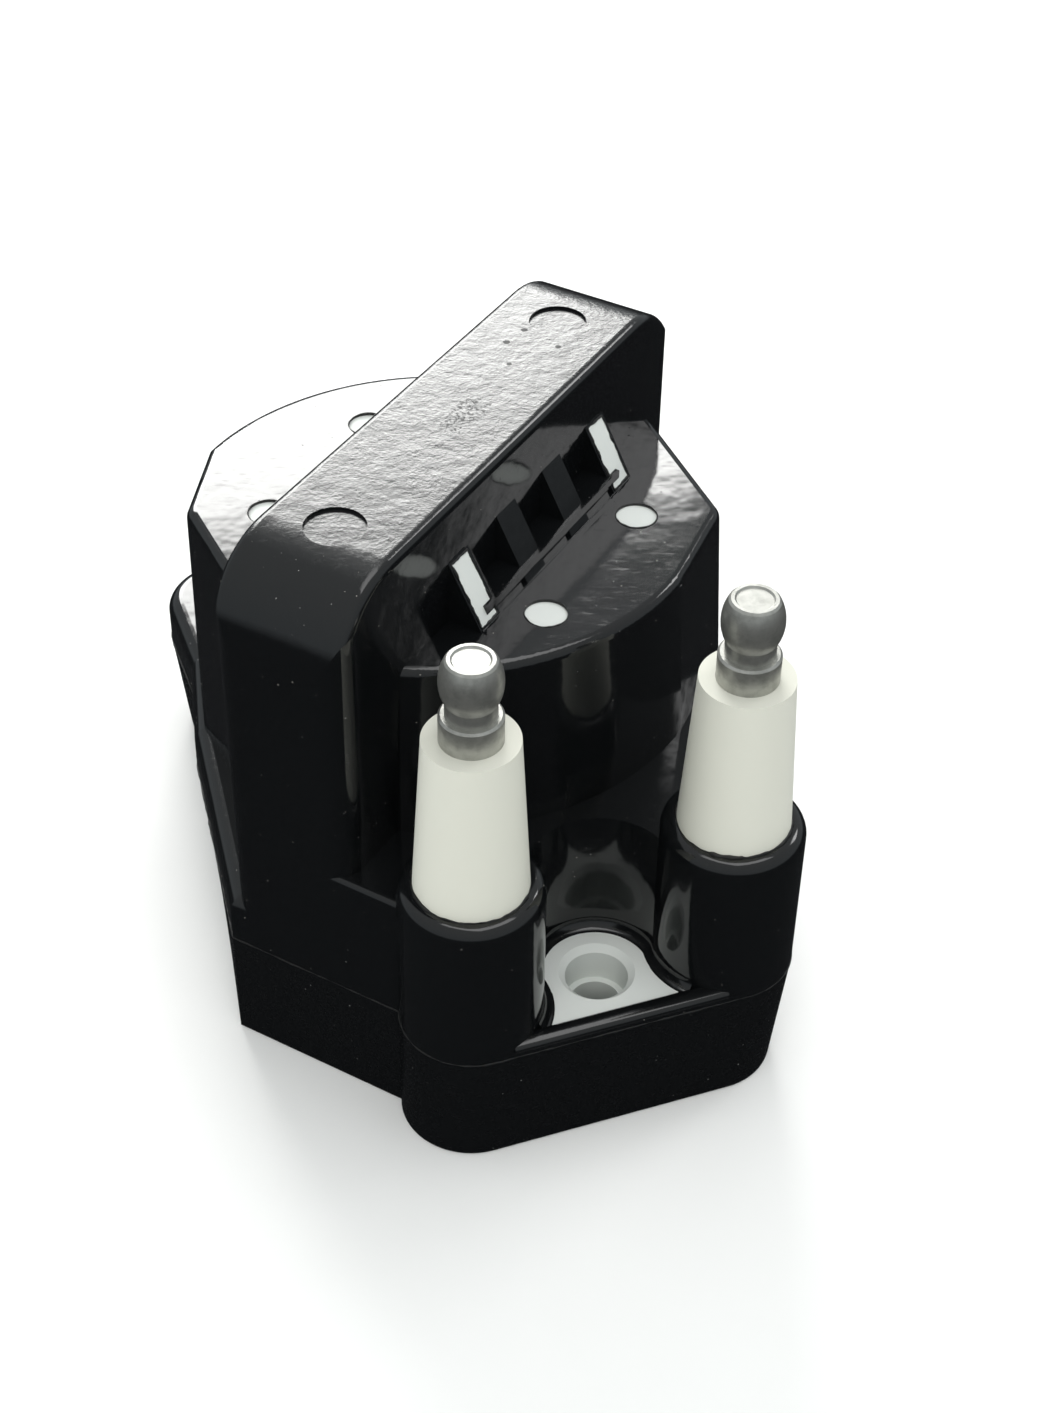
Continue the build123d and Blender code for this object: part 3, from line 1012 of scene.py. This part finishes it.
DUST = SatinMoulding("pale_dust", (0.36, 0.34, 0.31, 1.0), 0.9, shade=(0.22, 0.2, 0.18, 1.0))


# ---- sub-assemblies ------------------------------------------------------------------


@dataclass
class Winding:
    """Places in the hump's own frame: u along the hump, v out from its middle plane."""

    angle: float = HUMP_ANGLE
    shift: float = 1.5

    def place(self, along: float, out: float, height: float, rear: bool = False) -> Vector:
        """Point given along the hump and out from the winding axis.

        Args:
            along: distance along the hump from the winding axis, in millimetres.
            out: distance out to the front, or to the rear, in millimetres.
            height: height above the base, in millimetres.
            rear: measures out to the rear, turned half round.

        Returns:
            The point in metres.
        """
        turn = math.radians(self.angle)
        side = -1.0 if rear else 1.0
        u = self.shift + side * along
        v = -side * out
        x = u * math.cos(turn) - v * math.sin(turn)
        y = u * math.sin(turn) + v * math.cos(turn)
        return Vector((x, y, height)) * MM


@dataclass
class Housing:
    """The black housing and all that the moulding leaves on it."""

    winding: Winding
    seam: float = SEAM
    seam_cut: float = 0.01
    window_radius: float = 2.5
    window_spacing: float = 22.0
    window_reach: float = 17.35
    rear_extra: float = 3.3
    wing_top: float = 56.0
    gusset_places: tuple[float, float] = (-15.75, 15.75)
    gusset_foot: float = 12.9
    gusset_top: float = 64.0
    half_width: float = 8.6
    inlay_width: float = 3.4
    inlay_margin: float = 0.15
    crease_ends: tuple[float, float] = (-17.6, 17.6)

    def seam_flash(self) -> bpy.types.Object:
        """Ragged line where the base meets the upper housing."""
        outline = section("lower_housing", (self.seam - self.seam_cut) * MM)[0]
        return Flash("seam_flash", [outline], radius=0.13, ragged=0.16, lift=0.02, step=0.4).build()

    def window_flash(self) -> bpy.types.Object:
        """Thin rims round the four white windows.

        Returns:
            The rims as one mesh.
        """
        loops = []
        for rear in (False, True):
            reach = self.window_reach + (self.rear_extra if rear else 0.0)
            for along in (-self.window_spacing / 2, self.window_spacing / 2):
                centre = self.winding.place(along, reach, self.wing_top, rear)
                loops.append(circle(centre, self.window_radius * MM))
        return Flash("window_flash", loops, radius=0.12, ragged=0.14, step=0.3, seed=5).build()

    def inlay_flash(self) -> bpy.types.Object:
        """Torn edges round the white faces of the outer gussets.

        Returns:
            The edges as one mesh.
        """
        slope = (self.gusset_top - self.wing_top) / (self.gusset_foot - self.half_width)
        near = self.half_width + self.inlay_margin
        far = self.gusset_foot - self.inlay_margin
        heights = [self.wing_top + slope * (self.gusset_foot - reach) for reach in (near, far)]
        half = self.inlay_width / 2
        loops = []
        for rear in (False, True):
            for middle in self.gusset_places:
                corners = [
                    (middle - half, near, heights[0]),
                    (middle + half, near, heights[0]),
                    (middle + half, far, heights[1]),
                    (middle - half, far, heights[1]),
                ]
                loops.append([self.winding.place(*corner, rear) for corner in corners])
        return Flash("inlay_flash", loops, radius=0.2, ragged=0.3, step=0.25, patch=1.1, seed=8).build()

    def creases(self) -> bpy.types.Object:
        """Raised glossy line along the feet of the gussets, on both plates.

        Returns:
            The lines as one mesh.
        """
        loops = []
        for rear in (False, True):
            places = [(along, self.gusset_foot, self.wing_top, rear) for along in self.crease_ends]
            first, last = (self.winding.place(*place) for place in places)
            loops.append([first, first.lerp(last, 0.5), last])
        look = {"ragged": 0.02, "lift": 0.02, "step": 1.0, "patch": 9.0, "finish": COVE}
        return Flash("gusset_crease", loops, closed=False, **look).build()

    def build(self) -> list[bpy.types.Object]:
        """Builds all the flash on the housing.

        Returns:
            The pieces.
        """
        return [self.seam_flash(), self.window_flash(), self.inlay_flash(), self.creases()]


@dataclass
class ScrewWell:
    """Rounded black cove between the wall of a screw well and its white floor."""

    ear: str
    floor: float = WELL_FLOOR
    size: float = 1.25
    spacing: float = 0.5
    margin: float = 1.6
    section_rise: float = 0.05
    lift: float = 0.01
    overlap: float = 0.02
    steps: int = 8

    def wall(self) -> Loop:
        """The well wall's line just above the floor, where it stands next to the white ear.

        Returns:
            The line's points, open at both ends.
        """
        low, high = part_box(self.ear)
        outline = section("upper_housing", (self.floor + self.section_rise) * MM)[0]
        margin = self.margin * MM
        beside = [
            low.x - margin < point.x < high.x + margin and low.y - margin < point.y < high.y + margin
            for point in outline
        ]
        count = len(outline)
        start = next(step for step in range(count) if beside[step] and not beside[step - 1])
        line = []
        while beside[start % count]:
            line.append(outline[start % count])
            start += 1
        return line

    @staticmethod
    def inward(line: Loop, step: int) -> Vector:
        """Level direction to the left of a line.

        Args:
            line: the line's points.
            step: place of the point in the line.

        Returns:
            The direction at that point.
        """
        before, after = line[max(step - 1, 0)], line[min(step + 1, len(line) - 1)]
        tangent = (after - before).normalized()
        return Vector((-tangent.y, tangent.x, 0.0))

    def ring(self, point: Vector, inward: Vector) -> Loop:
        """The cove's section at a point of the wall.

        Args:
            point: the point.
            inward: level direction into the well.

        Returns:
            The section's corner, buried in the wall and floor, and then its arc.
        """
        reach = self.size * MM
        foot = Vector((point.x, point.y, self.floor * MM))
        ring = [foot - self.overlap * reach * inward - Vector((0, 0, self.overlap * reach))]
        for place in range(self.steps + 1):
            turn = math.radians(90.0 * place / self.steps)
            out = reach * (1.0 - math.cos(turn))
            rise = reach * (1.0 - math.sin(turn))
            ring.append(foot + out * inward + Vector((0, 0, rise + self.lift * MM)))
        return ring

    def build(self) -> bpy.types.Object:
        """Makes the cove, sweeping its section along the wall with the well on the left.

        Returns:
            The cove as one closed mesh.
        """
        line = even_line(self.wall(), self.spacing * MM)
        middle = sum(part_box(self.ear), Vector()) / 2
        if self.inward(line, 0).dot(middle - line[0]) < 0:
            line.reverse()
        rings = [self.ring(point, self.inward(line, step)) for step, point in enumerate(line)]
        return finished(tube(rings), f"{self.ear}_cove", COVE)


def even_line(line: Loop, step: float) -> Loop:
    """Points at an even spacing along an open line.

    Args:
        line: the line's points.
        step: spacing in metres.

    Returns:
        The new points, with both ends.
    """
    made = [line[0]]
    spare = 0.0
    for first, second in zip(line, line[1:]):
        run = (second - first).length
        place = step - spare
        while place < run:
            made.append(first.lerp(second, place / run))
            place += step
        spare = run - (place - step)
    made.append(line[-1])
    return made


@dataclass
class WellLip:
    """Half-round black lip across the open front of a screw well."""

    ear: str
    rear: bool
    floor: float = WELL_FLOOR
    front: float = 47.35
    width: float = 2.5
    rise: float = 0.75
    sink: float = 0.05
    fullness: float = 0.8
    left: float = -9.0
    right: float = 17.6
    steps: int = 14

    def build(self) -> bpy.types.Object:
        """Sweeps the lip's section from boss to boss.

        Returns:
            The lip as one closed mesh.
        """
        side = -1.0 if self.rear else 1.0
        rings = []
        for across in (self.left, self.right):
            ring = []
            for step in range(self.steps + 1):
                turn = math.pi * step / self.steps
                out = self.front - self.width / 2 * (1.0 + math.cos(turn))
                height = self.floor - self.sink + self.rise * math.sin(turn) ** self.fullness
                ring.append(Vector((side * across, -side * out, height)) * MM)
            rings.append(ring)
        return finished(tube(rings), f"{self.ear}_lip", COVE)


@dataclass
class Tower:
    """A high-tension tower's flash, where its boss ends."""

    side: str
    seed: int
    foot: float = 36.8
    foot_radius: float = 6.61
    steps: int = 72

    def build(self) -> bpy.types.Object:
        """Makes the ragged edge of the boss round the tower.

        Returns:
            The flash.
        """
        low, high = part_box(f"{self.side}_tower")
        centre = (low + high) / 2
        centre.z = self.foot * MM
        loop = circle(centre, self.foot_radius * MM, self.steps)
        name = f"{self.side}_tower_flash"
        return Flash(name, [loop], radius=0.34, ragged=0.5, patch=2.0, seed=self.seed).build()


# ---- studio --------------------------------------------------------------------------


@dataclass(frozen=True)
class Panel:
    """A soft light panel, placed round the coil."""

    name: str
    azimuth: float
    elevation: float
    width: float
    height: float
    radiance: float
    colour: tuple[float, float, float] = (1.0, 1.0, 1.0)
    mirrored: bool = True
    distance: float = 1.1

    def build(self, target: Vector) -> None:
        """Hangs the panel and turns it to the coil.

        Args:
            target: the point that it faces.
        """
        data = bpy.data.lights.new(self.name, "AREA")
        data.shape = "RECTANGLE"
        data.size = self.width
        data.size_y = self.height
        data.color = self.colour
        data.energy = self.radiance * math.pi * self.width * self.height
        azimuth, elevation = math.radians(self.azimuth), math.radians(self.elevation)
        level = math.cos(elevation)
        direction = Vector((math.sin(azimuth) * level, math.cos(azimuth) * level, math.sin(elevation)))
        lamp = bpy.data.objects.new(self.name, data)
        lamp.visible_glossy = self.mirrored
        lamp.location = target + self.distance * direction
        lamp.rotation_euler = direction.to_track_quat("Z", "Y").to_euler()
        bpy.context.scene.collection.objects.link(lamp)


@dataclass
class Studio:
    """Pale floor, soft light and the camera."""

    eye: tuple[float, float, float] = (-0.07163, -0.21677, 0.22195)
    yaw: float = 20.538
    pitch: float = 40.391
    roll: float = -1.1946
    lens: float = 60.35
    floor_size: float = 3.0
    floor_drop: float = 0.0002
    panels: tuple[Panel, ...] = (
        Panel("window_panel", 8.0, 27.5, 0.62, 0.37, 14.0, (1.0, 1.0, 0.98)),
        Panel("right_panel", 73.0, 38.0, 0.26, 0.2, 6.5),
        Panel("ceiling_panel", 60.0, 82.0, 0.7, 0.7, 2.6),
        Panel("front_fill", 205.0, 42.0, 0.8, 0.6, 2.4, (1.0, 0.99, 0.95), mirrored=False),
        Panel("left_fill", 262.0, 34.0, 0.5, 0.5, 1.2, mirrored=False),
    )

    def floor(self) -> None:
        """Lays the pale floor just under the coil, left out of its mirror images."""
        shape = bmesh.new()
        bmesh.ops.create_grid(shape, x_segments=8, y_segments=8, size=self.floor_size / 2)
        mesh = bpy.data.meshes.new("floor")
        shape.to_mesh(mesh)
        shape.free()
        made = mesh_object("floor", mesh)
        made.location.z = -self.floor_drop
        made.visible_glossy = False
        SatinMoulding("pale_floor", (0.90, 0.90, 0.89, 1.0), 0.9, shade=(0.88, 0.88, 0.87, 1.0)).dress(made)
        made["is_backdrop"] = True

    def sky(self) -> None:
        """Soft room light, brighter above the horizon."""
        world = bpy.data.worlds.new("room")
        world.use_nodes = True
        world.node_tree.nodes.clear()
        graph = Graph(world.node_tree)
        height = graph.parts(graph.wire("ShaderNodeTexCoord", output="Generated"))[2]
        stops = [
            (0.0, (0.015, 0.016, 0.017, 1.0)),
            (0.47, (0.03, 0.031, 0.033, 1.0)),
            (0.56, (0.46, 0.50, 0.52, 1.0)),
            (1.0, (0.60, 0.62, 0.62, 1.0)),
        ]
        tone = graph.wire("ShaderNodeValToRGB", {"stops": stops}, {"Fac": height * 0.5 + 0.5})
        light = graph.wire("ShaderNodeBackground", sockets={"Color": tone, "Strength": 1.0})
        graph.node("ShaderNodeOutputWorld", sockets={"Surface": light})
        bpy.context.scene.world = world

    def camera(self) -> None:
        """Places the camera."""
        yaw, pitch, roll = (math.radians(angle) for angle in (self.yaw, self.pitch, self.roll))
        level = math.cos(pitch)
        forward = Vector((math.sin(yaw) * level, math.cos(yaw) * level, -math.sin(pitch)))
        right = Vector((math.cos(yaw), -math.sin(yaw), 0.0))
        down = forward.cross(right)
        turned_right = math.cos(roll) * right + math.sin(roll) * down
        turned_down = math.cos(roll) * down - math.sin(roll) * right
        data = bpy.data.cameras.new("camera")
        data.lens = self.lens
        data.clip_start = 0.01
        made = bpy.data.objects.new("camera", data)
        axes = Matrix((turned_right, -turned_down, -forward)).transposed()
        made.matrix_world = Matrix.Translation(Vector(self.eye)) @ axes.to_4x4()
        bpy.context.scene.collection.objects.link(made)
        bpy.context.scene.camera = made

    def build(self, target: Vector) -> None:
        """Sets up the studio round the coil.

        Args:
            target: the coil's middle.
        """
        self.floor()
        self.sky()
        for panel in self.panels:
            panel.build(target)
        self.camera()
        bpy.context.scene.view_settings.view_transform = "Standard"


# ---- the whole -----------------------------------------------------------------------


def corners(box: Any) -> list[list[float]]:
    """Both corners of a box as plain numbers."""
    return [[float(value) for value in corner] for corner in box]


def main() -> None:
    """Dresses the frame, builds the added pieces and sets up the studio."""
    logging.basicConfig(level=logging.INFO, format="%(message)s")
    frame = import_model()
    frame_box = corners(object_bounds())
    for name, piece in frame["nodes"].items():
        NODE_FINISHES[name].dress(piece)
        log.info("dressed %s with %s", name, NODE_FINISHES[name].name)
    pieces = Housing(Winding()).build()
    pieces += [Tower(side, seed).build() for side, seed in (("left", 4), ("right", 5))]
    for ear, rear in (("front_mount_ear", False), ("rear_mount_ear", True)):
        pieces += [ScrewWell(ear).build(), WellLip(ear, rear).build()]
    pieces.append(Dust().build())
    for piece in pieces:
        log.info("built %s, %d faces", piece.name, len(piece.data.polygons))
    low, high = (Vector(corner) for corner in frame_box)
    Studio().build((low + high) / 2)
    sizes = {"cad": frame_box, "visual": corners(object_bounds())}


if __name__ == "__main__":
    main()
